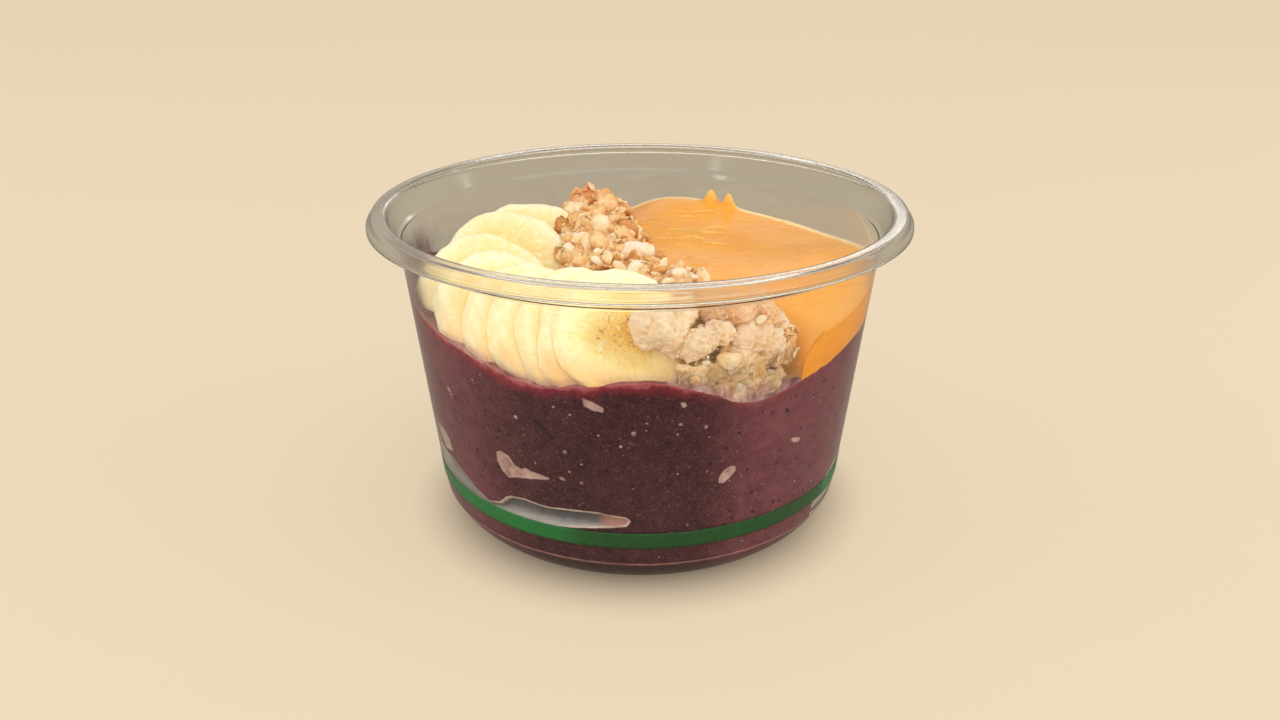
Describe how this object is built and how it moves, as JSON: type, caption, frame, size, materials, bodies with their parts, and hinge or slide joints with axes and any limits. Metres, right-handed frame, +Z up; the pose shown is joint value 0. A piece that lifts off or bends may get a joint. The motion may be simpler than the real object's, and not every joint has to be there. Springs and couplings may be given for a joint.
{
  "type": "acai bowl",
  "caption": "Round clear bowl with a flanged rim, filled with a thick acai blend and topped with overlapping banana slices, granola and a spread of peanut butter",
  "frame": {"origin": "centre of the bowl's foot ring, on the plane the bowl stands on", "axes": "+Z up, out of the bowl's mouth along its axis; -Y towards the side where the banana slices end and the large granola clumps lie; +X towards the peanut butter, so that the banana slices are at -X"},
  "size_m": [0.118, 0.118, 0.0714],
  "materials": {
    "clear_plastic": "clear, glossy",
    "acai_puree": "moist, softly glossy",
    "banana_flesh": "moist, softly glossy",
    "granola_crumb": "rough, crumbly",
    "peanut_spread": "smooth, oily sheen"
  },
  "bodies": {
    "root": {"acai": "acai_puree", "banana_1": "banana_flesh", "banana_2": "banana_flesh", "banana_3": "banana_flesh", "banana_4": "banana_flesh", "banana_5": "banana_flesh", "banana_6": "banana_flesh", "banana_7": "banana_flesh", "banana_8": "banana_flesh", "banana_9": "banana_flesh", "bowl": "clear_plastic", "granola_cluster_1": "granola_crumb", "granola_cluster_2": "granola_crumb", "granola_cluster_3": "granola_crumb", "granola_cluster_4": "granola_crumb", "granola_cluster_5": "granola_crumb", "granola_cluster_6": "granola_crumb", "granola_cluster_7": "granola_crumb", "granola_heap_back": "granola_crumb", "granola_heap_front": "granola_crumb", "peanut_butter": "peanut_spread"}
  },
  "joints": []
}
